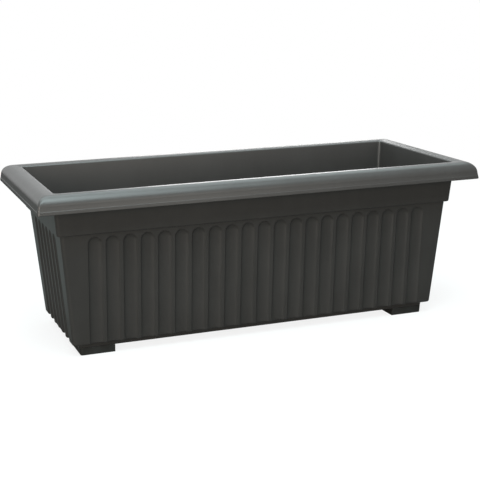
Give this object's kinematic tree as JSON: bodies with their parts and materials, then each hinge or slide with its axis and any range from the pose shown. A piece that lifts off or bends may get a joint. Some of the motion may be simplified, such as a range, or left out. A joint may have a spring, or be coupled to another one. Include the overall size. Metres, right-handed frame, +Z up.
{
  "type": "trough planter",
  "caption": "Long rectangular trough planter with drafted fluted walls, a plain band, a broad hollow rolled rim, drain holes in the floor and push-in feet.",
  "frame": {"origin": "middle of the trough's footprint, on the ground under the feet", "axes": "+X along the trough, +Y towards its back long side, +Z up; the front is -Y"},
  "size_m": [0.6, 0.2624, 0.2175],
  "materials": {
    "tub_plastic": "satin moulded polypropylene, graphite grey",
    "foot_plastic": "satin moulded polypropylene, darker graphite grey"
  },
  "bodies": {
    "root": {"tub": "tub_plastic", "foot_front_left": "foot_plastic", "foot_front_right": "foot_plastic", "foot_back_left": "foot_plastic", "foot_back_right": "foot_plastic"}
  },
  "joints": []
}
